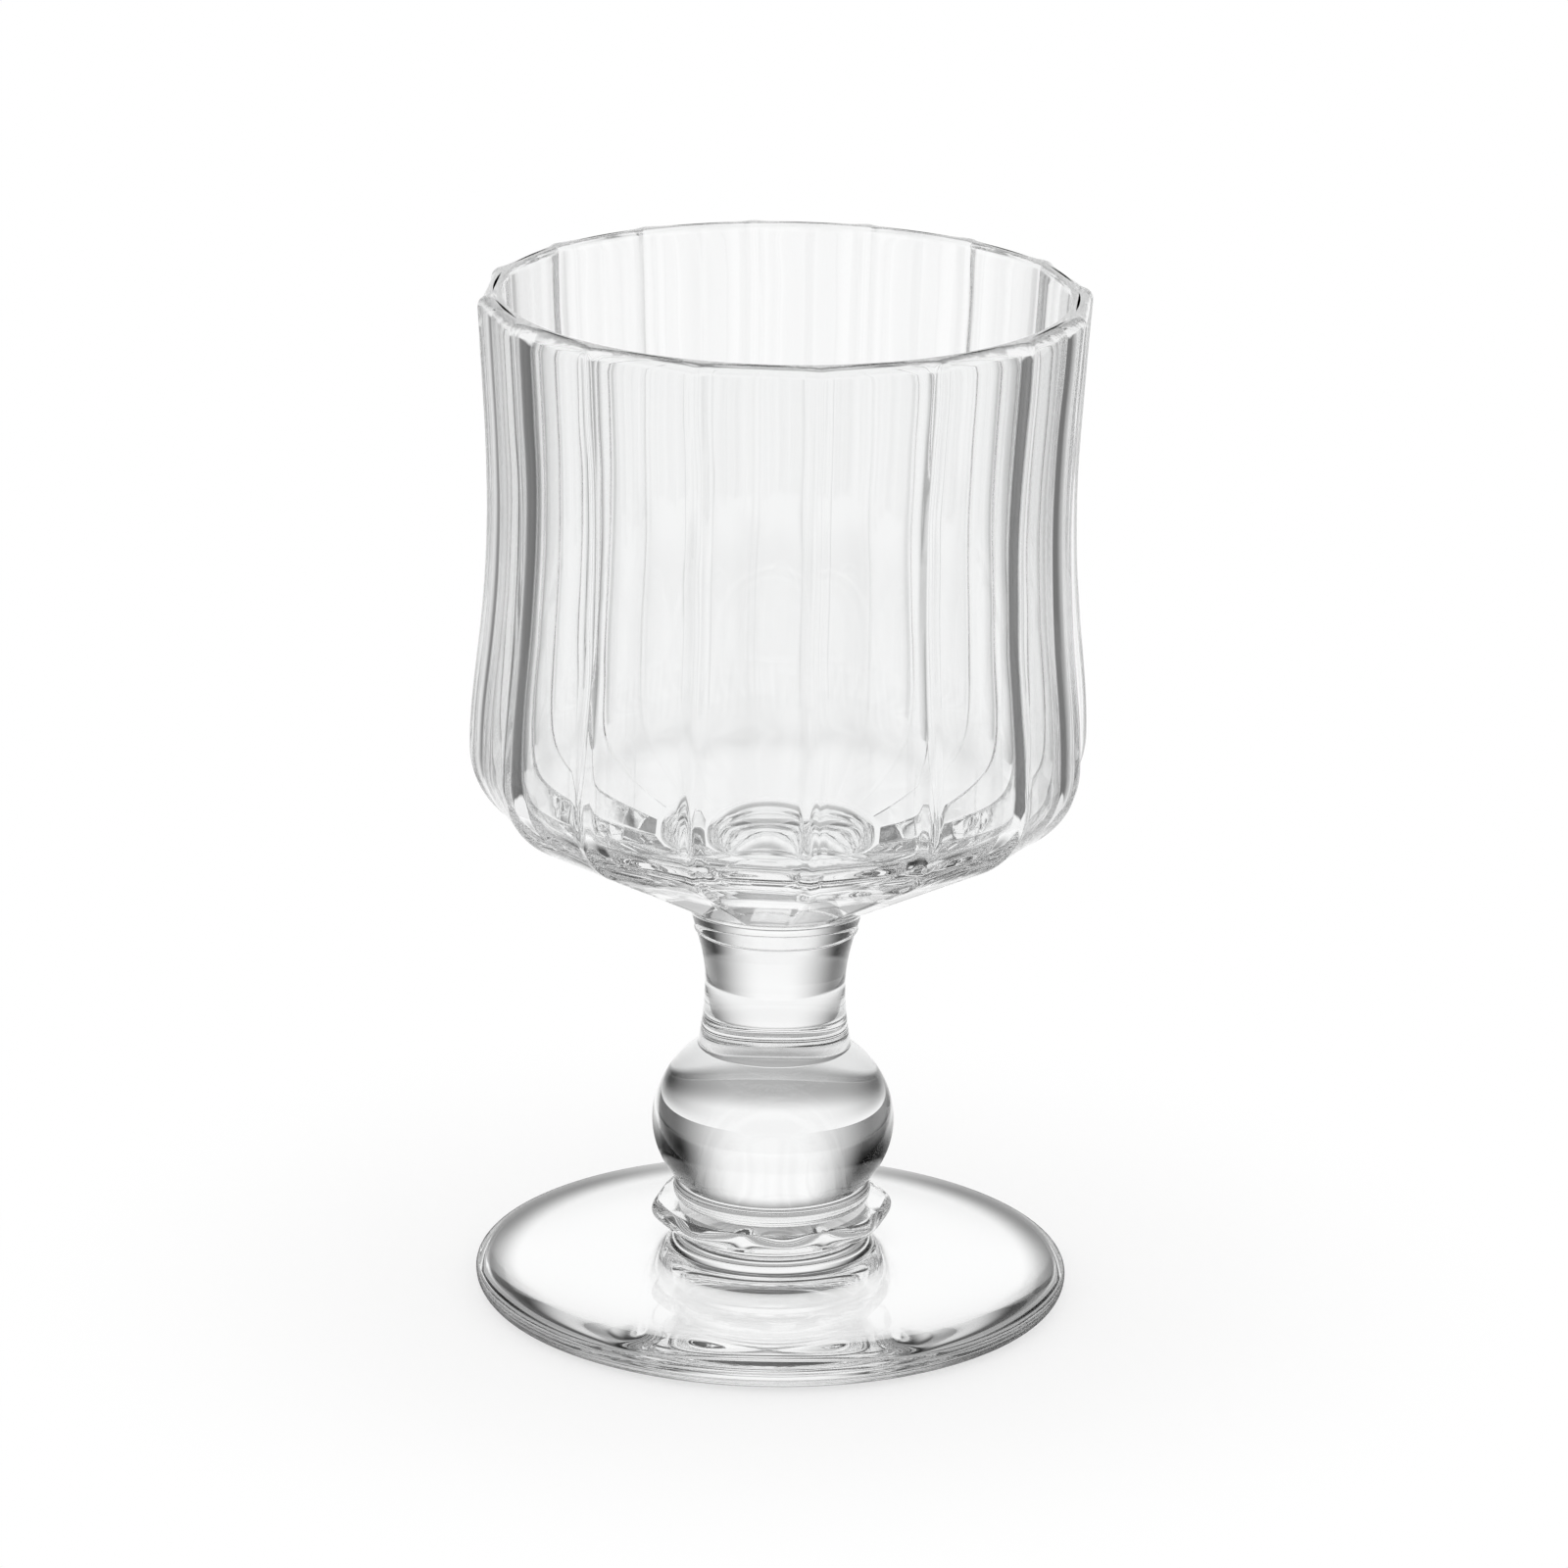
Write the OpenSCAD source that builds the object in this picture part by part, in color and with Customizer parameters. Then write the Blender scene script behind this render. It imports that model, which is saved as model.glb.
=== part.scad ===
// Fluted water goblet of clear pressed glass.
// Seven pieces stand on one axis, each fused to the next on a flat seat: foot, collar, ring, ball knop,
// waisted neck, button and bowl. The origin is the middle of the foot's underside, and +Z runs up to the rim.
// A ridge of the bowl and a lobe of the collar both lie on the -Y side.

/* [Foot] */
// Diameter of the foot
foot_d = 80.7; // [60:0.1:100]
// Thickness of the foot's round edge, twice the height of its widest place
foot_edge = 4.8; // [3:0.1:6]
// Diameter inside which the foot's top is nearly level
level_d = 46; // [36:0.1:60]
// Height of the foot there
level_h = 4.9; // [4:0.1:7]
// Height of the foot where the collar stands on it
foot_h = 9.9; // [8:0.1:12]
// Diameter of the foot's raised seat under the collar
seat_d = 25.4; // [20:0.1:30]

/* [Foot collar] */
// Diameter over the collar's lobes
collar_d = 33; // [28:0.1:42]
// Height of the collar
collar_h = 2.6; // [2:0.1:4]
// Number of lobes round the collar
collar_lobes = 8; // [6:1:12]
// Depth of the hollows between the lobes
lobe_depth = 1.2; // [0.3:0.1:1.2]

/* [Knop ring] */
// How far the ring stands out round the ball's lower seat
ring_stand = 0.6; // [0.2:0.1:2]
// Height of the ring
ring_h = 3.1; // [2:0.1:4]

/* [Ball knop] */
// Diameter of the ball at its middle
knop_d = 33; // [26:0.1:40]
// Full height of the flattened ball, as if it were whole
knop_full_h = 27.2; // [24:0.1:34]
// Height of the ball below its middle
knop_below = 8.5; // [6:0.1:10]
// Height of the ball above its middle
knop_above = 10.7; // [8:0.1:11]

/* [Stem neck] */
// Height of the neck
neck_h = 17; // [12:0.1:40]
// How far the neck's lower end stands out round the ball's upper seat
neck_stand = 0.3; // [0.1:0.1:1.5]
// Diameter at the neck's waist
neck_waist_d = 19.1; // [14:0.1:20]
// Diameter at the neck's upper end
neck_top_d = 22.2; // [20:0.1:25]
// Height of the waist above the neck's lower end
neck_waist_z = 8.7; // [6:0.1:11]

/* [Bowl button] */
// Height of the button between the neck and the bowl
button_h = 4.7; // [3:0.1:8]
// Diameter of the button where it meets the bowl
button_d = 27; // [25:0.1:34]

/* [Bowl] */
// Height of the bowl, from its seat to the rim
bowl_h = 83.5; // [74:0.1:110]
// Number of flutes round the bowl, always even
flutes = 16; // [10:2:24]
// Diameter across the ridges at the rim
rim_d = 81.9; // [70:0.1:100]
// Diameter across the ridges at the waist
waist_d = 79.1; // [68:0.1:98]
// Diameter across the ridges at the bulge
bulge_d = 83.4; // [70:0.1:100]
// How far the flats at the bowl's seat stand out round the button
seat_stand = 1.1; // [0.3:0.1:3]
// Height of the bulge above the seat
bulge_z = 21.7; // [19:0.1:26]
// Height of the waist above the seat
waist_z = 55.5; // [45:0.1:62]
// Radius of the round shoulder under the bulge
shoulder_r = 13; // [9:0.1:15]
// Wall in the middle of a flute
wall = 2.6; // [1.6:0.1:3.4]
// Solid glass between the seat and the inside floor
floor_t = 11.8; // [10:0.1:18]
// Radius of the rim's rounded outer edge
lip_r = 1.5; // [0.5:0.1:1.6]

/* [Hidden] */
$fn = 96;
clear_glass = [0.9, 0.94, 0.94];
stem_glass = [0.84, 0.89, 0.9];

// Slopes of the foot's top where it is nearly level and where it meets the collar, in degrees
level_slope = 0.5;
seat_slope = 80;
// Share of the rise to the level top that the foot's edge makes upright
edge_share = 0.8;
// Shares of the foot's top, outside and inside its level place, that stay nearly level
outer_share = 0.7;
inner_share = 0.8;
// Share of the height between two rings of the wall over which the curve leaves each of them upright
bulge_pull = 0.3;
waist_pull = 0.53;
rim_pull = 1 / 3;
// Share of the flare that the wall still has to make one pull below the rim
flare_share = 0.4;
// How the button's side leaves the neck and meets the bowl, as shares of its height
low_turn = [0.12, 0.35];
high_turn = [0.4, 0.2];
// Share of the drop to the inside floor, and of the inside radius, over which the round bottom turns
bottom_pull = 1;
floor_share = 0.85;

// Steps along each curve of an outline
curve_steps = 10;
// Points along one lobe of the collar
lobe_steps = 10;
// How far a cut runs past the face that it opens
past = 1;

// Seats, stacked from the foot up
collar_z = foot_h;
ring_z = collar_z + collar_h;
knop_z = ring_z + ring_h;
knop_mid_z = knop_z + knop_below;
neck_z = knop_mid_z + knop_above;
button_z = neck_z + neck_h;
bowl_z = button_z + button_h;

// Diameters that stand out round a seat of the ball
ring_d = 2 * (knop_r(knop_below) + ring_stand);
neck_low_d = 2 * (knop_r(knop_above) + neck_stand);

// Across the flats of the fluted bowl, for a diameter across its ridges
flat_share = cos(180 / flutes);
rim_flat_r = rim_d / 2 * flat_share;
waist_flat_r = waist_d / 2 * flat_share;
bulge_flat_r = bulge_d / 2 * flat_share;
seat_flat_r = button_d / 2 + seat_stand;

function arc(centre, radius, from, to) =
    [for (k = [0:curve_steps])
        let (a = from + (to - from) * k / curve_steps)
        centre + radius * [cos(a), sin(a)]];

function bezier(a, b, c, d) =
    [for (k = [0:curve_steps])
        let (t = k / curve_steps, s = 1 - t)
        s * s * s * a + 3 * s * s * t * b + 3 * s * t * t * c + t * t * t * d];

// Radius of the flattened ball at a height above its middle
function knop_r(height) = knop_d / 2 * sqrt(1 - pow(2 * height / knop_full_h, 2));

// Radius of the neck at a height above its lower end: a parabola down to the waist and one up from it
function neck_r(height) =
    let (low = height < neck_waist_z,
         end_r = (low ? neck_low_d : neck_top_d) / 2,
         run = low ? neck_waist_z : neck_h - neck_waist_z)
    neck_waist_d / 2 + (end_r - neck_waist_d / 2) * pow((height - neck_waist_z) / run, 2);

// Radius of the collar's outline at an angle from the -Y side
function lobed_r(angle) = collar_d / 2 - lobe_depth * (1 - cos(collar_lobes * angle)) / 2;

// Wall of the bowl from its bulge up to its waist, upright at both
function bulge_to_waist(bulge, waist) =
    let (rise = [0, waist.y - bulge.y])
    bezier(bulge, bulge + bulge_pull * rise, waist - waist_pull * rise, waist);

// Wall of the bowl from its waist up to the rim, flaring as it rises
function waist_to_rim(waist, rim) =
    let (rise = rim_pull * [0, rim.y - waist.y], flare = flare_share * [rim.x - waist.x, 0])
    bezier(waist, waist + rise, rim - rise - flare, rim);

function reversed(path) = [for (k = [len(path) - 1:-1:0]) path[k]];

// Outside of the bowl across its flats: underside, shoulder, bulge, waist and rounded rim
function bowl_outside() =
    let (seat = [seat_flat_r, 0],
         shoulder = [bulge_flat_r - shoulder_r, bulge_z],
         away = shoulder - seat,
         touch = atan2(away.y, away.x) - asin(shoulder_r / norm(away)),
         lip = [rim_flat_r, bowl_h - lip_r])
    concat(
        [seat],
        arc(shoulder, shoulder_r, touch - 90, 0),
        bulge_to_waist([bulge_flat_r, bulge_z], [waist_flat_r, waist_z]),
        waist_to_rim([waist_flat_r, waist_z], lip),
        arc(lip - [lip_r, 0], lip_r, 0, 90));

// Inside of the bowl: smooth and round, one wall in from the flats, down to a dished floor
function bowl_inside() =
    let (top = [rim_flat_r - wall, bowl_h],
         waist = [waist_flat_r - wall, waist_z],
         bulge = [bulge_flat_r - wall, bulge_z],
         middle = [0, floor_t],
         drop = [0, bulge_z - floor_t])
    concat(
        [top + [0, past]],
        reversed(waist_to_rim(waist, top)),
        reversed(bulge_to_waist(bulge, waist)),
        bezier(bulge, bulge - bottom_pull * drop, middle + floor_share * [bulge.x, 0], middle));

// Only the points of a path that differ from the one before
function tidy(path) =
    [for (k = [0:len(path) - 1]) if (k == 0 || norm(path[k] - path[max(k - 1, 0)]) > 0.001) path[k]];

// A disc with a half-round edge
module round_disc(diameter, height) {
    edge = [diameter / 2 - height / 2, height / 2];
    rotate_extrude()
        polygon(concat([[0, 0]], arc(edge, height / 2, -90, 90), [[0, height]]));
}

module foot() {
    edge_r = foot_edge / 2;
    edge = [foot_d / 2, edge_r];
    level = [level_d / 2, level_h];
    seat = [seat_d / 2, foot_h];
    edge_reach = [0, edge_share * (level.y - edge.y)];
    outer_reach = outer_share * (edge.x - level.x) * [1, -tan(level_slope)];
    inner_reach = inner_share * (level.x - seat.x) * [-1, tan(level_slope)];
    seat_reach = (seat.y - level.y) * [cos(seat_slope), -sin(seat_slope)];
    color(clear_glass)
        rotate_extrude()
            polygon(tidy(concat(
                [[0, 0]],
                arc(edge - [edge_r, 0], edge_r, -90, 0),
                bezier(edge, edge + edge_reach, level + outer_reach, level),
                bezier(level, level + inner_reach, seat + seat_reach, seat),
                [[0, foot_h]])));
}

module foot_collar() {
    outline = [for (k = [0:collar_lobes * lobe_steps - 1])
        let (a = 360 * k / (collar_lobes * lobe_steps))
        lobed_r(a) * [sin(a), -cos(a)]];
    color(stem_glass)
        translate([0, 0, collar_z])
            intersection() {
                round_disc(collar_d, collar_h);
                translate([0, 0, -past])
                    linear_extrude(collar_h + 2 * past)
                        polygon(outline);
            }
}

module knop_ring() {
    color(clear_glass)
        translate([0, 0, ring_z])
            round_disc(ring_d, ring_h);
}

module ball_knop() {
    steps = 2 * curve_steps;
    low = asin(-2 * knop_below / knop_full_h);
    high = asin(2 * knop_above / knop_full_h);
    skin = [for (k = [0:steps])
        let (a = low + (high - low) * k / steps)
        [knop_d / 2 * cos(a), knop_full_h / 2 * sin(a)]];
    color(stem_glass)
        translate([0, 0, knop_mid_z])
            rotate_extrude()
                polygon(concat([[0, -knop_below]], skin, [[0, knop_above]]));
}

module stem_neck() {
    steps = 2 * curve_steps;
    color(clear_glass)
        translate([0, 0, neck_z])
            rotate_extrude()
                polygon(concat(
                    [[0, 0]],
                    [for (k = [0:steps]) [neck_r(neck_h * k / steps), neck_h * k / steps]],
                    [[0, neck_h]]));
}

module bowl_button() {
    low = [neck_top_d / 2, 0];
    high = [button_d / 2, button_h];
    color(stem_glass)
        translate([0, 0, button_z])
            rotate_extrude()
                polygon(concat(
                    [[0, 0]],
                    bezier(low, low + button_h * low_turn, high - button_h * high_turn, high),
                    [[0, button_h]]));
}

module bowl() {
    half = tidy(bowl_outside());
    other_half = [for (point = reversed(half)) [-point.x, point.y]];
    color(clear_glass)
        translate([0, 0, bowl_z])
            difference() {
                intersection_for (k = [0:flutes / 2 - 1])
                    rotate([0, 0, (k + 0.5) * 360 / flutes])
                        rotate([90, 0, 0])
                            linear_extrude(2 * bulge_d, center = true)
                                polygon(concat(half, other_half));
                rotate_extrude()
                    polygon(concat([[0, bowl_h + past]], tidy(bowl_inside())));
            }
}

foot();
foot_collar();
knop_ring();
ball_knop();
stem_neck();
bowl_button();
bowl();
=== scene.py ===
"""Clear pressed-glass water goblet.

A fluted bowl stands on a short stem with a ball knop, a lobed collar and a round foot.
"""

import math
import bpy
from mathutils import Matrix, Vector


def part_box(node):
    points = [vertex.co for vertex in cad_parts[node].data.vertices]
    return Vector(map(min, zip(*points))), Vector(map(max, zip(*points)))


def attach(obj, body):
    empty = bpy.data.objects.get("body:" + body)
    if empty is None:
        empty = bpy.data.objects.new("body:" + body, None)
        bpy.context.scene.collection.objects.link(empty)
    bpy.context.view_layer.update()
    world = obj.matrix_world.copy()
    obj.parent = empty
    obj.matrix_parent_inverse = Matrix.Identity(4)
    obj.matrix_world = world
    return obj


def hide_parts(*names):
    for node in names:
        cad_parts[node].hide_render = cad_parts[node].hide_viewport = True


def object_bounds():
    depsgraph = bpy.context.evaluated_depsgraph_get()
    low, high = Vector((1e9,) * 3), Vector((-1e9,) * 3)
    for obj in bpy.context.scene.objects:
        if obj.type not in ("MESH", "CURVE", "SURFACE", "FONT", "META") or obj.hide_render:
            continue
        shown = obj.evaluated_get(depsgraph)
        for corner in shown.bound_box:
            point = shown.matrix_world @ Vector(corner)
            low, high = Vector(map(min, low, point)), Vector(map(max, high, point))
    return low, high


bl_info = {
    "name": "Fluted Water Goblet",
    "version": (1, 0, 0),
    "blender": (4, 5, 0),
    "location": "View3D > Sidebar > Goblet",
    "description": "Clear pressed-glass goblet with a fluted bowl, built round its packed frame",
    "category": "Add Mesh",
}

import bpy
from bpy.props import FloatProperty, FloatVectorProperty, IntProperty, PointerProperty
from mathutils import Matrix, Vector

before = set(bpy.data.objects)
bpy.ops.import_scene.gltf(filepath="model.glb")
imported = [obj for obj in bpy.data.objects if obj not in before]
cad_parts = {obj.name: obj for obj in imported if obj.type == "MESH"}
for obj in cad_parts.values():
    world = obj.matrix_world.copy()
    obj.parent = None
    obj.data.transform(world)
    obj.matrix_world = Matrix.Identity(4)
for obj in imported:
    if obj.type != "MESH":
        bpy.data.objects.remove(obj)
CAD_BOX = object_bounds()

BODY = "root"
PATTERN = "pattern_depth"
GLASS, FUSED = 0, 1

# Points nearer than this to the axis, or to each other, are one point
ON_AXIS = 1e-7
SAME_POINT = 1e-7
# Faces that meet at more than this angle keep a sharp edge
SHARP_ANGLE = math.radians(38)

# Points round a stem piece, round one flute or lobe, round the foot and round the floor
AROUND = 144
AROUND_PATTERN = 24
AROUND_FOOT = 192
AROUND_FLOOR = 96

# Pulls of the curves in the bowl's wall, as shares of their rise or reach
BULGE_PULL = 0.3
WAIST_PULL = 0.53
RIM_FLARE = 0.4
# Pulls of the curve in the button's side, out and up, as shares of its height
BUTTON_LOW_PULL = Vector((0.12, 0.35))
BUTTON_HIGH_PULL = Vector((0.4, 0.2))

# Waves in which pressed ridges waver, to the metre
WAVER_SCALE = 55.0
# Noise between which the haze rises, and how much finer its patches are than the ripples
HAZE_START, HAZE_FULL = 0.45, 0.75
PATCHES_PER_RIPPLE = 3

# Gap between the foot and the floor
FLOOR_GAP = 0.0002
# Light is turned back many times inside thick glass before it leaves
BOUNCES = 48
# Where soft borders begin or end, as shares of the radius or width that they belong to
FLOOR_EDGE = 0.95
WHITE_SPOT_EDGE = 1.13
STEM_SHADOW_START = 0.3
FOOT_SHADOW_START = 0.7
CARD_EDGE = 2.6
# Soft borders in the studio, by the rise of a direction, from -1 straight down to 1 straight up
HORIZON = 0.03
CEILING_START, CEILING_FULL = 0.36, 0.55
STEEP_START, STEEP_FULL = -0.325, -0.36
# The narrow cards stand beyond this angle from the middle of the backdrop
CARDS_START, CARDS_FULL = math.radians(70), math.radians(80)
SENSOR_WIDTH = 36.0


def levels(node):
    """Height of a CAD node's underside and of its top."""
    low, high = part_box(node)
    return low.z, high.z


def radius_of(node):
    """Largest radius of a CAD node."""
    low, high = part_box(node)
    return (high.x - low.x) / 2


# Settings


def length(name, description, default):
    """A size in metres that shows in the panel."""
    return FloatProperty(
        name=name, description=description, default=default, min=0.0, unit="LENGTH", precision=5
    )


def angle(name, description, default):
    """An angle that shows in the panel, given in degrees."""
    return FloatProperty(
        name=name, description=description, default=math.radians(default), unit="ROTATION"
    )


def share(name, description, default):
    """A number from 0 to 1 that shows in the panel."""
    return FloatProperty(
        name=name, description=description, default=default, min=0.0, max=1.0, subtype="FACTOR"
    )


def whole(name, description, default, low, high):
    """A whole number that shows in the panel."""
    return IntProperty(name=name, description=description, default=default, min=low, max=high)


class BowlSettings(bpy.types.PropertyGroup):
    """Sizes of the fluted bowl."""

    flutes: whole("Flutes", "Flutes round the bowl", 16, 6, 32)
    hollow: length("Hollow", "How much deeper a flute is than a flat panel", 0.0003)
    ridge_softness: share("Ridge softness", "How far fire polishing rounds the ridges", 0.05)
    crest: share("Crest", "Share of a flute's depth in the narrow crest of its ridges", 0.28)
    crest_width: share("Crest width", "Width of that crest, as a share of a flute", 0.14)
    waver: angle("Waver", "How far the ridges waver round the bowl", 2.0)
    bulge_radius: length("Bulge radius", "Over the ridges at the widest place", radius_of("bowl"))
    bulge_height: length("Bulge height", "Height of the widest place above the seat", 0.0217)
    waist_radius: length("Waist radius", "Over the ridges at the waist", 0.03955)
    waist_height: length("Waist height", "Height of the waist above the seat", 0.0555)
    rim_radius: length("Rim radius", "Over the ridges at the rim", 0.04095)
    seat_radius: length("Seat radius", "Across the flats where the bowl sits on the stem", 0.0146)
    seat_round: length("Seat rounding", "Rounding of the edge round the seat", 0.0006)
    shoulder_radius: length("Shoulder radius", "Round shoulder under the bulge", 0.013)
    wall: length("Wall", "Glass in the middle of a flute", 0.0026)
    floor: length("Floor", "Solid glass between the seat and the inside", 0.0118)
    floor_share: share("Floor share", "Share of the inside radius that stays nearly level", 0.85)
    bottom_pull: share("Bottom pull", "Share of the drop to the floor that is nearly upright", 1.0)
    lip_radius: length("Lip radius", "Rounded outer edge of the rim", 0.0015)
    inner_lip_radius: length("Inner lip radius", "Rounded inner edge of the rim", 0.0005)


class StemSettings(bpy.types.PropertyGroup):
    """Sizes of the button, neck, ball knop and ring."""

    fuse_round: length("Fused edge", "Rounding at the edges where two pieces fuse", 0.0003)
    neck_top_radius: length("Neck top", "Radius where the neck meets the button", 0.0111)
    neck_waist_radius: length("Neck waist", "Radius at the neck's waist", 0.00955)
    neck_waist_height: length("Neck waist height", "Height of the waist above the knop", 0.0087)
    neck_low_radius: length("Neck bottom", "Radius where the neck sits on the knop", 0.01048)
    knop_half_height: length("Knop half height", "Half the height of the ball, as if whole", 0.0136)
    knop_below: length("Knop below", "Height of the ball below its middle", 0.0085)


class FootSettings(bpy.types.PropertyGroup):
    """Sizes of the foot and its lobed collar."""

    lobes: whole("Lobes", "Lobes round the collar", 8, 4, 16)
    lobe_waver: angle("Lobe waver", "How far the lobes waver round the collar", 12)
    lobe_depth: length("Lobe depth", "Depth of the hollows between the lobes", 0.0012)
    edge: length("Foot edge", "Thickness of the foot's round edge", 0.0048)
    edge_share: share("Edge share", "Share of the rise to the level top that is upright", 0.8)
    level_radius: length("Level radius", "Inside this radius the top is nearly level", 0.023)
    level_height: length("Level height", "Height of the top there", 0.0049)
    level_slope: angle("Level slope", "Slope of the top there", 0.5)
    outer_share: share("Outer share", "Share of the top outside it that stays nearly level", 0.7)
    inner_share: share("Inner share", "Share of the top inside it that stays nearly level", 0.8)
    seat_slope: angle("Seat slope", "Slope of the top next to the collar", 80)
    seat_radius: length("Seat radius", "Raised seat under the collar", 0.0127)


class GlassSettings(bpy.types.PropertyGroup):
    """Finish of the glass."""

    tint: FloatVectorProperty(
        name="Tint",
        description="Colour left in light that has passed through a wall",
        subtype="COLOR",
        size=3,
        min=0.0,
        max=1.0,
        default=(0.975, 0.978, 0.978),
    )
    ior: FloatProperty(name="IOR", description="Refractive index", default=1.51, min=1.0, max=2.0)
    ripple_size: length("Ripple size", "Width of the faint waves left by pressing", 0.018)
    ripple_height: length("Ripple height", "Height of those waves", 0.00002)
    haze: share("Haze", "Roughness of the least polished places", 0.004)


class StageSettings(bpy.types.PropertyGroup):
    """Floor, light and camera."""

    floor_radius: length("Floor radius", "Radius of the round white floor", 0.115)
    floor_fade: length("Floor fade", "Where the floor begins to fade into the backdrop", 0.05)
    floor_glow: share("Floor glow", "Share of the floor that glows, which lightens the shadow", 0.6)
    floor_white: length("White spot", "Radius of the evenly white spot under the foot", 0.034)
    stem_shadow: length("Stem shadow", "Radius of the soft shadow under the stem", 0.016)
    stem_shade: share("Stem shade", "Brightness in the middle of that shadow", 0.45)
    foot_shadow: length("Foot shadow", "Radius of the soft shadow round the foot", 0.07)
    foot_shade: share("Foot shade", "Brightness of that shadow next to the foot", 0.45)
    back_start: angle("Backdrop start", "Where the backdrop begins to darken, from its middle", 12)
    back_end: angle("Backdrop end", "Where the backdrop is dark", 42)
    back_shade: share("Backdrop shade", "Brightness beside the backdrop", 0.0)
    table_start: angle("Table start", "Where the table begins to darken, from its middle", 7)
    table_end: angle("Table end", "Where the table is dark", 46)
    table_shade: share("Table shade", "Brightness of the table at the sides", 0.18)
    front_start: angle("Front start", "Where the table darkens again, from its middle", 60)
    front_end: angle("Front end", "Where the table is darkest", 100)
    front_shade: share("Front shade", "Brightness of the table in front of the glass", 0.04)
    cards: whole("Cards", "Narrow white cards round the glass", 8, 2, 16)
    card_width: angle("Card width", "Half the width of a narrow card", 8)
    ceiling_shade: share("Ceiling shade", "Brightness of the ceiling", 0.1)
    lens: FloatProperty(
        name="Lens", description="Focal length on a 36 mm frame", default=182.9, min=10.0
    )
    distance: length("Camera distance", "From the camera to what it looks at", 1.072)
    azimuth: angle("Camera azimuth", "Turned from the -Y side", -6.6)
    elevation: angle("Camera elevation", "Height above the horizon", 17.77)
    roll: angle("Camera roll", "Turn of the camera about its own axis", 0.97)
    aim_height: length("Aim height", "Height that the camera looks at", 0.07175)
    aim_side: length("Aim side", "How far right of the axis the camera looks", 0.00074)


# Outlines and meshes


def arc(centre, radius, start, end, steps):
    """Points along an arc, with its angles in degrees."""
    points = []
    for k in range(steps + 1):
        turn = math.radians(start + (end - start) * k / steps)
        points.append((centre[0] + radius * math.cos(turn), centre[1] + radius * math.sin(turn)))
    return points


def bezier(a, b, c, d, steps):
    """Points along a cubic curve."""
    points = []
    for k in range(steps + 1):
        t = k / steps
        weights = ((1 - t) ** 3, 3 * (1 - t) ** 2 * t, 3 * (1 - t) * t * t, t ** 3)
        points.append(tuple(sum(w * p[i] for w, p in zip(weights, (a, b, c, d))) for i in (0, 1)))
    return points


def straight(a, b, steps):
    """Points along a straight line."""
    return [tuple(a[i] + (b[i] - a[i]) * k / steps for i in (0, 1)) for k in range(steps + 1)]


class Section:
    """Half section of a round piece, walked from the axis out, up and back to the axis."""

    def __init__(self):
        self.points = []
        self.depths = []
        self.kinds = []

    def walk(self, path, depth=None, kind=GLASS):
        """Adds a stretch. depth gives how far the pressed pattern cuts in at a radius."""
        for radius, height in path:
            here = Vector((radius, height))
            if self.points and (here - Vector(self.points[-1])).length < SAME_POINT:
                continue
            self.points.append((radius, height))
            self.depths.append(depth(radius) if depth else 0.0)
            self.kinds.append(kind)


def turned_piece(name, section, around):
    """Turns a half section into a closed round mesh."""
    vertices = []
    depths = []
    rings = []
    for (radius, height), depth in zip(section.points, section.depths):
        first = len(vertices)
        count = 1 if radius < ON_AXIS else around
        for k in range(count):
            turn = 2 * math.pi * k / around
            vertices.append((radius * math.sin(turn), -radius * math.cos(turn), height))
            depths.append(depth)
        rings.append([first + k % count for k in range(around + 1)])
    faces = []
    kinds = []
    for low, high, kind in zip(rings, rings[1:], section.kinds[1:]):
        for k in range(around):
            corners = (low[k], low[k + 1], high[k + 1], high[k])
            faces.append(tuple(dict.fromkeys(corners)))
            kinds.append(kind)
    mesh = bpy.data.meshes.new(name)
    mesh.from_pydata(vertices, [], faces)
    mesh.materials.append(glass_material())
    mesh.materials.append(fused_material())
    mesh.polygons.foreach_set("material_index", kinds)
    mesh.attributes.new(PATTERN, "FLOAT", "POINT").data.foreach_set("value", depths)
    mesh.shade_smooth()
    mesh.set_sharp_from_angle(angle=SHARP_ANGLE)
    piece = bpy.data.objects.new(name, mesh)
    bpy.context.scene.collection.objects.link(piece)
    return piece


def finish_piece(piece, node):
    """Puts a piece on the body in place of its CAD node."""
    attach(piece, BODY)
    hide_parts(node)


# Node trees


class Wiring:
    """Adds nodes to a tree. A value that is a socket is linked, and any other is set."""

    def __init__(self, tree):
        self.tree = tree

    def node(self, kind, inputs=None, **settings):
        """A node with its settings and inputs."""
        made = self.tree.nodes.new(kind)
        for name, value in settings.items():
            setattr(made, name, value)
        for key, value in (inputs or {}).items():
            self.feed(value, made.inputs[key])
        return made

    def feed(self, value, socket):
        """Links a socket or sets a value."""
        if isinstance(value, bpy.types.NodeSocket):
            self.tree.links.new(value, socket)
        else:
            socket.default_value = value

    def math(self, operation, *values):
        """Output of a math node in a shader or geometry tree."""
        made = self.node("ShaderNodeMath", dict(enumerate(values)), operation=operation)
        return made.outputs[0]

    def smooth_step(self, value, start, end):
        """0 before start and 1 after end, with a soft change between them."""
        made = self.node(
            "ShaderNodeMapRange",
            {"Value": value, "From Min": start, "From Max": end},
            interpolation_type="SMOOTHSTEP",
        )
        return made.outputs["Result"]

    def mix(self, share_of_b, a, b):
        """A number between a and b."""
        made = self.node("ShaderNodeMix", {"Factor": share_of_b, "A": a, "B": b}, data_type="FLOAT")
        return made.outputs["Result"]


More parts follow.
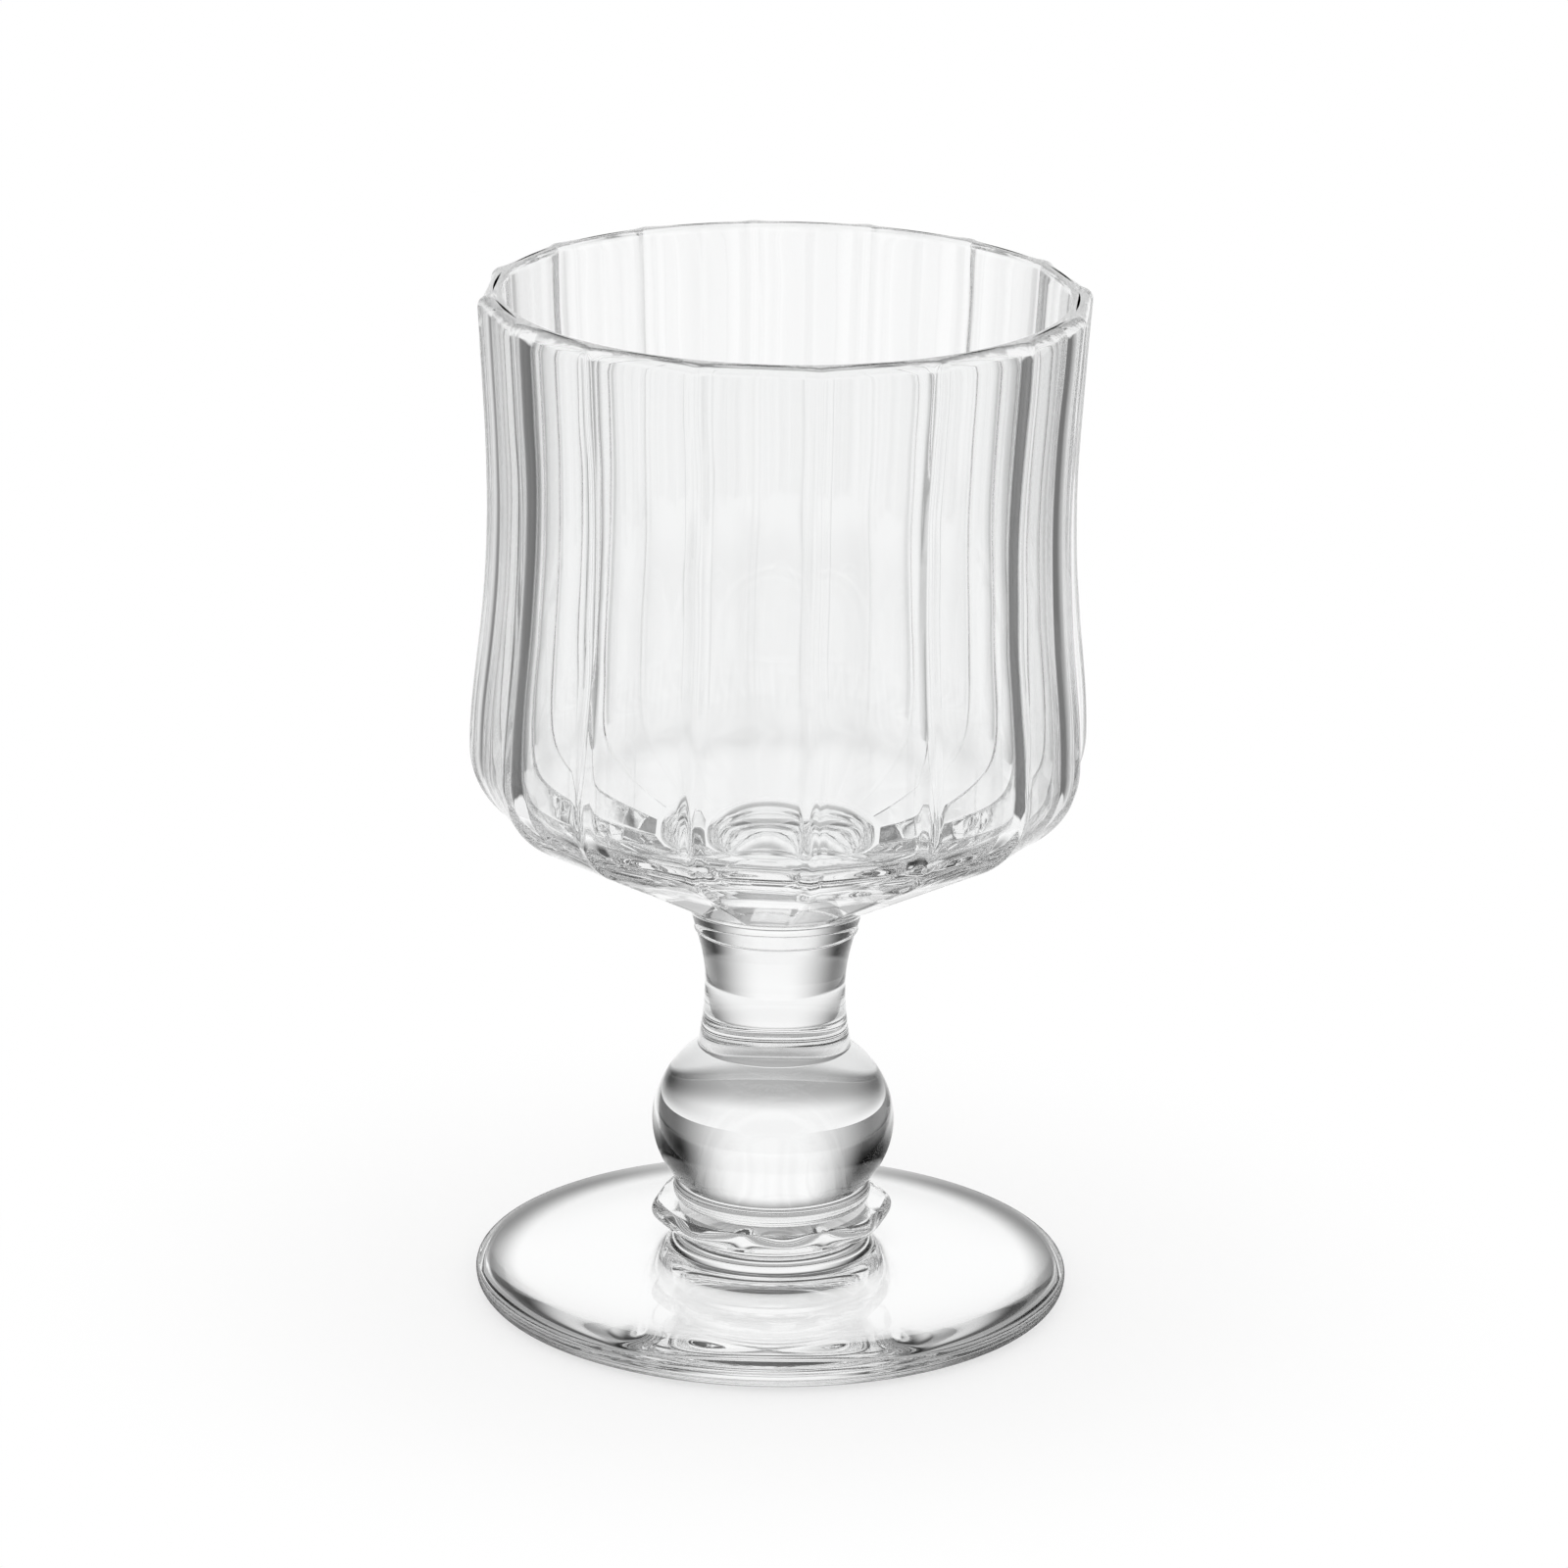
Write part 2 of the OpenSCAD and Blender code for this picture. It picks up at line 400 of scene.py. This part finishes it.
def pressed_tree():
    """Geometry nodes that press flutes or lobes into a piece, by the depth stored at each point."""
    name = "Pressed pattern"
    if name in bpy.data.node_groups:
        return bpy.data.node_groups[name]
    tree = bpy.data.node_groups.new(name, "GeometryNodeTree")
    inputs = {
        "Geometry": "NodeSocketGeometry",
        "Count": "NodeSocketInt",
        "Ridge Softness": "NodeSocketFloat",
        "Roundness": "NodeSocketFloat",
        "Waver": "NodeSocketFloat",
        "Crest": "NodeSocketFloat",
        "Crest Width": "NodeSocketFloat",
        "Material": "NodeSocketMaterial",
    }
    for socket, kind in inputs.items():
        tree.interface.new_socket(socket, in_out="INPUT", socket_type=kind)
    tree.interface.new_socket("Geometry", in_out="OUTPUT", socket_type="NodeSocketGeometry")
    wiring = Wiring(tree)
    given = wiring.node("NodeGroupInput").outputs
    place = wiring.node("GeometryNodeInputPosition").outputs[0]
    axes = wiring.node("ShaderNodeSeparateXYZ", {0: place}).outputs
    turn = wiring.math("ARCTAN2", axes["X"], wiring.math("MULTIPLY", axes["Y"], -1.0))
    uneven = wiring.node(
        "ShaderNodeTexNoise", {"Vector": place, "Scale": WAVER_SCALE, "Detail": 1.0}
    )
    sway = wiring.math("SUBTRACT", uneven.outputs["Fac"], 0.5)
    turn = wiring.math("ADD", turn, wiring.math("MULTIPLY", sway, given["Waver"]))
    # Distance from the nearest ridge: 0 on the ridge and 1 in the middle of a flute
    steps = wiring.math("MULTIPLY", turn, wiring.math("DIVIDE", given["Count"], math.pi))
    away = wiring.math("PINGPONG", steps, 1.0)
    soft = given["Ridge Softness"]
    soft_square = wiring.math("MULTIPLY", soft, soft)

    def softened(value):
        """A distance whose sharp turn at 0 is rounded."""
        square = wiring.math("MULTIPLY", value, value)
        root = wiring.math("SQRT", wiring.math("ADD", square, soft_square))
        return wiring.math("SUBTRACT", root, soft)

    away = wiring.math("DIVIDE", softened(away), softened(1.0))
    flute = wiring.math("MULTIPLY", away, wiring.math("SUBTRACT", 2.0, away))
    crest = wiring.smooth_step(away, 0.0, given["Crest Width"])
    flute = wiring.mix(given["Crest"], flute, crest)
    lobe = wiring.smooth_step(away, 0.0, 1.0)
    form = wiring.mix(given["Roundness"], flute, lobe)
    depth = wiring.node("GeometryNodeInputNamedAttribute", {"Name": PATTERN}, data_type="FLOAT")
    cut = wiring.math("MULTIPLY", form, depth.outputs["Attribute"])
    outward = wiring.node("ShaderNodeCombineXYZ", {"X": axes["X"], "Y": axes["Y"]}).outputs[0]
    outward = wiring.node("ShaderNodeVectorMath", {0: outward}, operation="NORMALIZE").outputs[0]
    inward = wiring.math("MULTIPLY", cut, -1.0)
    offset = wiring.node("ShaderNodeVectorMath", {0: outward, "Scale": inward}, operation="SCALE")
    pressed = wiring.node(
        "GeometryNodeSetPosition", {"Geometry": given["Geometry"], "Offset": offset.outputs[0]}
    )
    real = wiring.node("GeometryNodeRealizeInstances", {"Geometry": pressed.outputs[0]})
    index = wiring.node("GeometryNodeInputMaterialIndex").outputs[0]
    is_glass = wiring.math("LESS_THAN", index, 0.5)
    finish = wiring.node(
        "GeometryNodeSetMaterial",
        {"Geometry": real.outputs[0], "Selection": is_glass, "Material": given["Material"]},
    )
    wiring.node("NodeGroupOutput", {"Geometry": finish.outputs[0]})
    return tree


def press(piece, count, softness, roundness, waver, crest, crest_width):
    """Presses the pattern into a piece and leaves it a plain mesh."""
    tree = pressed_tree()
    values = {
        "Count": count,
        "Ridge Softness": softness,
        "Roundness": roundness,
        "Waver": waver,
        "Crest": crest,
        "Crest Width": crest_width,
        "Material": glass_material(),
    }
    modifier = piece.modifiers.new("Pressed pattern", "NODES")
    modifier.node_group = tree
    for socket in tree.interface.items_tree:
        if socket.in_out == "INPUT" and socket.name in values:
            modifier[socket.identifier] = values[socket.name]
    depsgraph = bpy.context.evaluated_depsgraph_get()
    plain = bpy.data.meshes.new_from_object(piece.evaluated_get(depsgraph))
    piece.modifiers.clear()
    piece.data = plain


def glass_material():
    """Clear fire-polished glass with the faint waves that pressing leaves."""
    name = "clear pressed glass"
    if name in bpy.data.materials:
        return bpy.data.materials[name]
    settings = bpy.context.scene.goblet_glass
    material = bpy.data.materials.new(name)
    material.use_nodes = True
    wiring = Wiring(material.node_tree)
    shader = material.node_tree.nodes["Principled BSDF"]
    coordinates = wiring.node("ShaderNodeTexCoord").outputs["Object"]
    waves = wiring.node(
        "ShaderNodeTexNoise",
        {"Vector": coordinates, "Scale": 1 / settings.ripple_size, "Detail": 1.0, "Roughness": 0.4},
    )
    ripple = wiring.node(
        "ShaderNodeBump",
        {"Height": waves.outputs["Fac"], "Strength": 1.0, "Distance": settings.ripple_height},
    )
    patches = wiring.node(
        "ShaderNodeTexNoise",
        {
            "Vector": coordinates,
            "Scale": PATCHES_PER_RIPPLE / settings.ripple_size,
            "Detail": 3.0,
            "Roughness": 0.6,
        },
    )
    haze = wiring.node(
        "ShaderNodeMapRange",
        {
            "Value": patches.outputs["Fac"],
            "From Min": HAZE_START,
            "From Max": HAZE_FULL,
            "To Max": settings.haze,
        },
    )
    values = {
        "Base Color": (*settings.tint, 1.0),
        "IOR": settings.ior,
        "Transmission Weight": 1.0,
        "Roughness": haze.outputs["Result"],
        "Normal": ripple.outputs["Normal"],
    }
    for key, value in values.items():
        wiring.feed(value, shader.inputs[key])
    return material


def fused_material():
    """Where two pieces of glass have fused, light passes straight on."""
    name = "fused glass"
    if name in bpy.data.materials:
        return bpy.data.materials[name]
    material = bpy.data.materials.new(name)
    material.use_nodes = True
    tree = material.node_tree
    tree.nodes.remove(tree.nodes["Principled BSDF"])
    wiring = Wiring(tree)
    through = wiring.node("ShaderNodeBsdfTransparent", {"Color": (1.0, 1.0, 1.0, 1.0)})
    wiring.feed(through.outputs[0], tree.nodes["Material Output"].inputs["Surface"])
    return material


# Pieces


def disc_flat(node):
    """Radius of the flat faces of a disc with a half-round edge."""
    low, high = levels(node)
    return radius_of(node) - (high - low) / 2


def knop_top_flat():
    """Radius over which the knop and the neck are fused."""
    stem = bpy.context.scene.goblet_stem
    return stem.neck_low_radius - stem.fuse_round


def neck_top_flat():
    """Radius over which the neck and the button are fused."""
    stem = bpy.context.scene.goblet_stem
    return stem.neck_top_radius - stem.fuse_round


def half_round_edge(section, node, steps, depth=None):
    """Walks round the half-round edge of a disc."""
    low, high = levels(node)
    half = (high - low) / 2
    section.walk(arc((disc_flat(node), low + half), half, -90, 90, steps), depth)


class GOBLET_OT_bowl(bpy.types.Operator):
    """Make the fluted bowl"""

    bl_idname = "goblet.bowl"
    bl_label = "Fluted bowl"

    def execute(self, context):
        bowl = context.scene.goblet_bowl
        low, high = levels("bowl")
        flat = math.cos(math.pi / bowl.flutes)
        fused_radius = radius_of("bowl_button") - context.scene.goblet_stem.fuse_round

        def flute(radius):
            """Depth of a flute in its middle."""
            return radius * (1 - flat) + bowl.hollow * radius / bowl.bulge_radius

        seat = Vector((bowl.seat_radius / flat, low))
        bulge = Vector((bowl.bulge_radius, low + bowl.bulge_height))
        waist = Vector((bowl.waist_radius, low + bowl.waist_height))
        lip = Vector((bowl.rim_radius, high - bowl.lip_radius))
        shoulder = bulge - Vector((bowl.shoulder_radius, 0))
        reach = shoulder - seat
        slope = math.atan2(reach.y, reach.x) - math.asin(bowl.shoulder_radius / reach.length)
        turn = math.degrees(slope) - 90
        section = Section()
        section.walk(straight((0, low), (fused_radius, low), 3), kind=FUSED)
        edge_in = bowl.seat_round * math.tan(slope / 2)
        edge_centre = (seat.x - edge_in, low + bowl.seat_round)
        section.walk(straight((fused_radius, low), (seat.x - edge_in, low), 2)[1:], flute)
        section.walk(arc(edge_centre, bowl.seat_round, -90, turn, 5), flute)
        underside = arc(shoulder, bowl.shoulder_radius, turn, 0, 30)
        section.walk(straight(section.points[-1], underside[0], 12), flute)
        section.walk(underside, flute)
        section.walk(self.bulge_to_waist(bulge, waist, 32), flute)
        section.walk(self.waist_to_rim(waist, lip, 24), flute)
        section.walk(arc(lip - Vector((bowl.lip_radius, 0)), bowl.lip_radius, 0, 90, 10), flute)
        # Inside: smooth and round, one wall in from the middle of the flutes
        inner = bowl.inner_lip_radius
        inside_rim = bowl.rim_radius * flat - bowl.wall
        section.walk(straight(section.points[-1], (inside_rim + inner, high), 4)[2:])
        top = Vector((inside_rim, high - inner))
        section.walk(arc(top + Vector((inner, 0)), inner, 90, 180, 6))
        in_waist = Vector((bowl.waist_radius * flat - bowl.wall, waist.y))
        in_bulge = Vector((bowl.bulge_radius * flat - bowl.wall, bulge.y))
        section.walk(reversed(self.waist_to_rim(in_waist, top, 18)))
        section.walk(reversed(self.bulge_to_waist(in_bulge, in_waist, 20)))
        middle = Vector((0, low + bowl.floor))
        drop = Vector((0, in_bulge.y - middle.y))
        across = Vector((bowl.floor_share * in_bulge.x, 0))
        steep = in_bulge - bowl.bottom_pull * drop
        section.walk(bezier(in_bulge, steep, middle + across, middle, 40))
        piece = turned_piece("bowl_glass", section, bowl.flutes * AROUND_PATTERN)
        press(
            piece,
            bowl.flutes,
            softness=bowl.ridge_softness,
            roundness=0.0,
            waver=bowl.waver,
            crest=bowl.crest,
            crest_width=bowl.crest_width,
        )
        finish_piece(piece, "bowl")
        return {"FINISHED"}

    @staticmethod
    def bulge_to_waist(bulge, waist, steps):
        """Wall from the bulge up to the waist, upright at both."""
        rise = Vector((0, waist.y - bulge.y))
        return bezier(bulge, bulge + BULGE_PULL * rise, waist - WAIST_PULL * rise, waist, steps)

    @staticmethod
    def waist_to_rim(waist, rim, steps):
        """Wall from the waist up to the rim, flaring as it rises."""
        rise = Vector((0, (rim.y - waist.y) / 3))
        flare = Vector((RIM_FLARE * (rim.x - waist.x), 0))
        return bezier(waist, waist + rise, rim - rise - flare, rim, steps)


class GOBLET_OT_stem(bpy.types.Operator):
    """Make the button, the neck, the ball knop and the ring under it"""

    bl_idname = "goblet.stem"
    bl_label = "Stem"

    def execute(self, context):
        self.button(context)
        self.neck(context)
        self.knop(context)
        self.ring()
        return {"FINISHED"}

    def button(self, context):
        """Trumpet between the neck and the bowl."""
        stem = context.scene.goblet_stem
        fuse = stem.fuse_round
        low, high = levels("bowl_button")
        height = high - low
        top = radius_of("bowl_button")
        fused_low = neck_top_flat()
        button = Section()
        button.walk(straight((0, low), (fused_low, low), 2), kind=FUSED)
        button.walk(arc((fused_low, low + fuse), fuse, -90, -10, 6))
        start = Vector(button.points[-1])
        end = Vector((top, high - fuse))
        from_start = start + BUTTON_LOW_PULL * height
        to_end = end - BUTTON_HIGH_PULL * height
        button.walk(bezier(start, from_start, to_end, end, 20))
        button.walk(arc((top - fuse, high - fuse), fuse, 0, 90, 6))
        button.walk(straight((top - fuse, high), (0, high), 2), kind=FUSED)
        finish_piece(turned_piece("button_glass", button, AROUND), "bowl_button")

    def neck(self, context):
        """Waisted neck between the knop and the button."""
        stem = context.scene.goblet_stem
        fuse = stem.fuse_round
        low, high = levels("stem_neck")
        waist = low + stem.neck_waist_height
        steps = 36
        side = []
        for k in range(steps + 1):
            height = low + fuse + (high - low - 2 * fuse) * k / steps
            end = low if height < waist else high
            radius = stem.neck_low_radius if height < waist else stem.neck_top_radius
            swell = ((height - waist) / (end - waist)) ** 2
            widening = (radius - stem.neck_waist_radius) * swell
            side.append((stem.neck_waist_radius + widening, height))
        neck = Section()
        neck.walk(straight((0, low), (knop_top_flat(), low), 2), kind=FUSED)
        neck.walk(arc((knop_top_flat(), low + fuse), fuse, -90, -20, 5)[1:])
        neck.walk(side)
        neck.walk(arc((neck_top_flat(), high - fuse), fuse, 10, 90, 5))
        neck.walk(straight((neck_top_flat(), high), (0, high), 2), kind=FUSED)
        finish_piece(turned_piece("neck_glass", neck, AROUND), "stem_neck")

    def knop(self, context):
        """Flattened ball."""
        stem = context.scene.goblet_stem
        low, high = levels("ball_knop")
        middle = low + stem.knop_below
        half = stem.knop_half_height
        start = math.asin((low - middle) / half)
        end = math.asin((high - middle) / half)
        steps = 60
        skin = []
        for k in range(steps + 1):
            turn = start + (end - start) * k / steps
            skin.append((radius_of("ball_knop") * math.cos(turn), middle + half * math.sin(turn)))
        knop = Section()
        knop.walk(straight((0, low), (disc_flat("knop_ring"), low), 2), kind=FUSED)
        knop.walk(skin)
        knop.walk([(knop_top_flat(), high)])
        knop.walk(straight((knop_top_flat(), high), (0, high), 2), kind=FUSED)
        finish_piece(turned_piece("knop_glass", knop, AROUND), "ball_knop")

    def ring(self):
        """Ring between the knop and the collar."""
        low, high = levels("knop_ring")
        ring = Section()
        ring.walk(straight((0, low), (disc_flat("knop_ring"), low), 2), kind=FUSED)
        half_round_edge(ring, "knop_ring", 20)
        ring.walk(straight((disc_flat("knop_ring"), high), (0, high), 2), kind=FUSED)
        finish_piece(turned_piece("ring_glass", ring, AROUND), "knop_ring")


class GOBLET_OT_collar(bpy.types.Operator):
    """Make the lobed collar on the foot"""

    bl_idname = "goblet.collar"
    bl_label = "Lobed collar"

    def execute(self, context):
        foot = context.scene.goblet_foot
        low, high = levels("foot_collar")
        flat = disc_flat("foot_collar")
        widest = radius_of("foot_collar")

        def lobe(radius):
            """Depth of a hollow between two lobes, which ends at the collar's flat faces."""
            return foot.lobe_depth * max(0.0, radius - flat) / (widest - flat)

        collar = Section()
        collar.walk(straight((0, low), (foot.seat_radius, low), 2), kind=FUSED)
        half_round_edge(collar, "foot_collar", 32, lobe)
        collar.walk([(disc_flat("knop_ring"), high)])
        collar.walk(straight((disc_flat("knop_ring"), high), (0, high), 2), kind=FUSED)
        piece = turned_piece("collar_glass", collar, foot.lobes * AROUND_PATTERN)
        press(
            piece,
            foot.lobes,
            softness=0.0,
            roundness=1.0,
            waver=foot.lobe_waver,
            crest=0.0,
            crest_width=1.0,
        )
        finish_piece(piece, "foot_collar")
        return {"FINISHED"}


class GOBLET_OT_foot(bpy.types.Operator):
    """Make the round foot"""

    bl_idname = "goblet.foot"
    bl_label = "Round foot"

    def execute(self, context):
        settings = context.scene.goblet_foot
        low, high = levels("foot")
        edge = settings.edge / 2
        centre = Vector((radius_of("foot") - edge, low + edge))
        widest = Vector((radius_of("foot"), low + edge))
        level = Vector((settings.level_radius, low + settings.level_height))
        seat = Vector((settings.seat_radius, high))
        along = Vector((1, -math.tan(settings.level_slope)))
        up_edge = Vector((0, settings.edge_share * (level.y - widest.y)))
        outward = settings.outer_share * (widest.x - level.x) * along
        inward = -settings.inner_share * (level.x - seat.x) * along
        fall = Vector((math.cos(settings.seat_slope), -math.sin(settings.seat_slope)))
        seat_pull = (seat.y - level.y) * fall
        foot = Section()
        foot.walk(straight((0, low), (centre.x, low), 8))
        foot.walk(arc(centre, edge, -90, 0, 16))
        foot.walk(bezier(widest, widest + up_edge, level + outward, level, 40))
        foot.walk(bezier(level, level + inward, seat + seat_pull, seat, 30))
        foot.walk(straight(seat, (0, high), 2), kind=FUSED)
        finish_piece(turned_piece("foot_glass", foot, AROUND_FOOT), "foot")
        return {"FINISHED"}


class GOBLET_OT_stage(bpy.types.Operator):
    """Make the white floor, the studio light and the camera"""

    bl_idname = "goblet.stage"
    bl_label = "Stage"

    def execute(self, context):
        stage = context.scene.goblet_stage
        self.floor(stage)
        self.light(context.scene, stage)
        self.camera(context.scene, stage)
        context.scene.view_settings.view_transform = "Standard"
        light_paths = context.scene.cycles
        light_paths.max_bounces = BOUNCES
        light_paths.glossy_bounces = BOUNCES
        light_paths.transmission_bounces = BOUNCES
        light_paths.transparent_max_bounces = BOUNCES
        return {"FINISHED"}

    def floor(self, stage):
        """Round white floor under the foot."""
        radius = stage.floor_radius
        rim = []
        for k in range(AROUND_FLOOR):
            turn = 2 * math.pi * k / AROUND_FLOOR
            rim.append((radius * math.cos(turn), radius * math.sin(turn), 0.0))
        mesh = bpy.data.meshes.new("floor")
        mesh.from_pydata(rim, [], [tuple(range(AROUND_FLOOR))])
        floor = bpy.data.objects.new("floor", mesh)
        floor.location.z = CAD_BOX[0].z - FLOOR_GAP
        bpy.context.scene.collection.objects.link(floor)
        mesh.materials.append(self.floor_material(stage))

    def floor_material(self, stage):
        """White floor, which keeps the shadow and fades into the backdrop.

        The glass shows it as a table, with soft shadows round the foot and under the stem.
        """
        material = bpy.data.materials.new("white floor")
        material.use_nodes = True
        tree = material.node_tree
        wiring = Wiring(tree)
        paint = tree.nodes["Principled BSDF"]
        paint.inputs["Base Color"].default_value = (1.0, 1.0, 1.0, 1.0)
        paint.inputs["Roughness"].default_value = 1.0
        paint.inputs["Specular IOR Level"].default_value = 0.0
        path = wiring.node("ShaderNodeLightPath").outputs
        place = wiring.node("ShaderNodeTexCoord").outputs["Object"]
        axes = wiring.node("ShaderNodeSeparateXYZ", {0: place}).outputs
        distance = wiring.node("ShaderNodeVectorMath", {0: place}, operation="LENGTH")
        radius = distance.outputs["Value"]
        turn = wiring.math("ARCTAN2", axes["X"], axes["Y"])
        shown = self.table(wiring, self.from_backdrop(wiring, turn, stage), stage)
        shadow_start = stage.foot_shadow * FOOT_SHADOW_START
        clear = wiring.smooth_step(radius, shadow_start, stage.foot_shadow)
        fill = wiring.smooth_step(radius, shadow_start, stage.floor_radius)
        shown = wiring.mix(fill, shown, 1.0)
        shown = wiring.math("MULTIPLY", shown, wiring.mix(clear, stage.foot_shade, 1.0))
        spot_edge = stage.floor_white * WHITE_SPOT_EDGE
        outside = wiring.smooth_step(radius, stage.floor_white, spot_edge)
        lit = wiring.smooth_step(radius, stage.stem_shadow * STEM_SHADOW_START, stage.stem_shadow)
        shown = wiring.mix(outside, wiring.mix(lit, stage.stem_shade, 1.0), shown)
        in_glass = wiring.math("MAXIMUM", path["Is Transmission Ray"], path["Is Glossy Ray"])
        strength = wiring.mix(in_glass, 1.0, shown)
        glow = wiring.node("ShaderNodeEmission", {"Strength": strength})
        edge = wiring.smooth_step(radius, stage.floor_fade, stage.floor_radius * FLOOR_EDGE)
        edge = wiring.mix(edge, stage.floor_glow, 1.0)
        glow_share = wiring.math("MAXIMUM", in_glass, edge)
        both = wiring.node(
            "ShaderNodeMixShader", {0: glow_share, 1: paint.outputs[0], 2: glow.outputs[0]}
        )
        wiring.feed(both.outputs[0], tree.nodes["Material Output"].inputs["Surface"])
        return material

    @staticmethod
    def from_backdrop(wiring, turn, stage):
        """Angle from the middle of the backdrop, which stands behind the glass."""
        return wiring.math("PINGPONG", wiring.math("ADD", turn, stage.azimuth), math.pi)

    @staticmethod
    def table(wiring, away, stage):
        """Brightness of the table round the glass: white behind it and darker at the sides."""
        dark = wiring.smooth_step(away, stage.table_start, stage.table_end)
        front = wiring.smooth_step(away, stage.front_start, stage.front_end)
        shade = wiring.mix(front, stage.table_shade, stage.front_shade)
        return wiring.mix(dark, 1.0, shade)

    @staticmethod
    def backdrop(wiring, away, stage):
        """Brightness of the backdrop: a white sheet behind the glass with dark sides."""
        dark = wiring.smooth_step(away, stage.back_start, stage.back_end)
        return wiring.mix(dark, 1.0, stage.back_shade)

    @staticmethod
    def narrow_card(wiring, turn, stage):
        """1 on the narrow white cards round the glass, which clear glass shows from other sides."""
        from_card = wiring.math("PINGPONG", turn, math.pi / stage.cards)
        off_card = wiring.smooth_step(from_card, stage.card_width, stage.card_width * CARD_EDGE)
        return wiring.math("SUBTRACT", 1.0, off_card)

    def light(self, scene, stage):
        """White studio. The glass shows a backdrop and a table whose dark sides draw its edges."""
        world = bpy.data.worlds.new("studio")
        world.use_nodes = True
        scene.world = world
        wiring = Wiring(world.node_tree)
        path = wiring.node("ShaderNodeLightPath").outputs
        direction = wiring.node("ShaderNodeTexCoord").outputs["Generated"]
        axes = wiring.node("ShaderNodeSeparateXYZ", {0: direction}).outputs
        turn = wiring.math("ARCTAN2", axes["X"], axes["Y"])
        rise = axes["Z"]
        away = self.from_backdrop(wiring, turn, stage)
        table = self.table(wiring, away, stage)
        backdrop = self.backdrop(wiring, away, stage)
        above_horizon = wiring.smooth_step(rise, -HORIZON, HORIZON)
        shown = wiring.mix(above_horizon, table, backdrop)
        ceiling = wiring.smooth_step(rise, CEILING_START, CEILING_FULL)
        mirrored = wiring.mix(ceiling, shown, stage.ceiling_shade)
        beside = wiring.smooth_step(away, CARDS_START, CARDS_FULL)
        card = wiring.math("MULTIPLY", self.narrow_card(wiring, turn, stage), beside)
        white = wiring.math("MAXIMUM", card, wiring.smooth_step(rise, STEEP_START, STEEP_FULL))
        shown = wiring.math("MAXIMUM", mirrored, white)
        strength = wiring.mix(path["Is Glossy Ray"], 1.0, mirrored)
        strength = wiring.mix(path["Is Transmission Ray"], strength, shown)
        strength = wiring.mix(path["Is Camera Ray"], strength, 1.0)
        background = world.node_tree.nodes["Background"]
        background.inputs["Color"].default_value = (1.0, 1.0, 1.0, 1.0)
        wiring.feed(strength, background.inputs["Strength"])

    def camera(self, scene, stage):
        """Camera at the photograph's viewing angle."""
        turn, rise, roll = stage.azimuth, stage.elevation, stage.roll
        back = Vector((
            math.sin(turn) * math.cos(rise), -math.cos(turn) * math.cos(rise), math.sin(rise)
        ))
        level = Vector((math.cos(turn), math.sin(turn), 0.0))
        upright = back.cross(level)
        right = level * math.cos(roll) + upright * math.sin(roll)
        up = upright * math.cos(roll) - level * math.sin(roll)
        aim = level * stage.aim_side + Vector((0.0, 0.0, stage.aim_height))
        lens = bpy.data.cameras.new("camera")
        lens.sensor_width = SENSOR_WIDTH
        lens.lens = stage.lens
        camera = bpy.data.objects.new("camera", lens)
        axes = Matrix((right, up, back)).transposed().to_4x4()
        camera.matrix_world = Matrix.Translation(aim + back * stage.distance) @ axes
        scene.collection.objects.link(camera)
        scene.camera = camera


class GOBLET_PT_panel(bpy.types.Panel):
    """Buttons and sizes of the goblet"""

    bl_idname = "GOBLET_PT_panel"
    bl_label = "Water Goblet"
    bl_space_type = "VIEW_3D"
    bl_region_type = "UI"
    bl_category = "Goblet"

    def draw(self, context):
        for operator in OPERATORS:
            self.layout.operator(operator.bl_idname)
        for name in SETTINGS:
            box = self.layout.box()
            group = getattr(context.scene, name)
            for key in group.__annotations__:
                box.prop(group, key)


SETTINGS = {
    "goblet_bowl": BowlSettings,
    "goblet_stem": StemSettings,
    "goblet_foot": FootSettings,
    "goblet_glass": GlassSettings,
    "goblet_stage": StageSettings,
}
OPERATORS = (GOBLET_OT_foot, GOBLET_OT_collar, GOBLET_OT_stem, GOBLET_OT_bowl, GOBLET_OT_stage)


def register():
    """Adds the settings, the operators and the panel."""
    for name, group in SETTINGS.items():
        bpy.utils.register_class(group)
        setattr(bpy.types.Scene, name, PointerProperty(type=group))
    for operator in OPERATORS:
        bpy.utils.register_class(operator)
    bpy.utils.register_class(GOBLET_PT_panel)


def unregister():
    """Takes them away again."""
    bpy.utils.unregister_class(GOBLET_PT_panel)
    for operator in reversed(OPERATORS):
        bpy.utils.unregister_class(operator)
    for name, group in SETTINGS.items():
        delattr(bpy.types.Scene, name)
        bpy.utils.unregister_class(group)


def main():
    """Builds every piece and the stage."""
    register()
    bpy.ops.goblet.foot()
    bpy.ops.goblet.collar()
    bpy.ops.goblet.stem()
    bpy.ops.goblet.bowl()
    bpy.ops.goblet.stage()


if __name__ == "__main__":
    main()
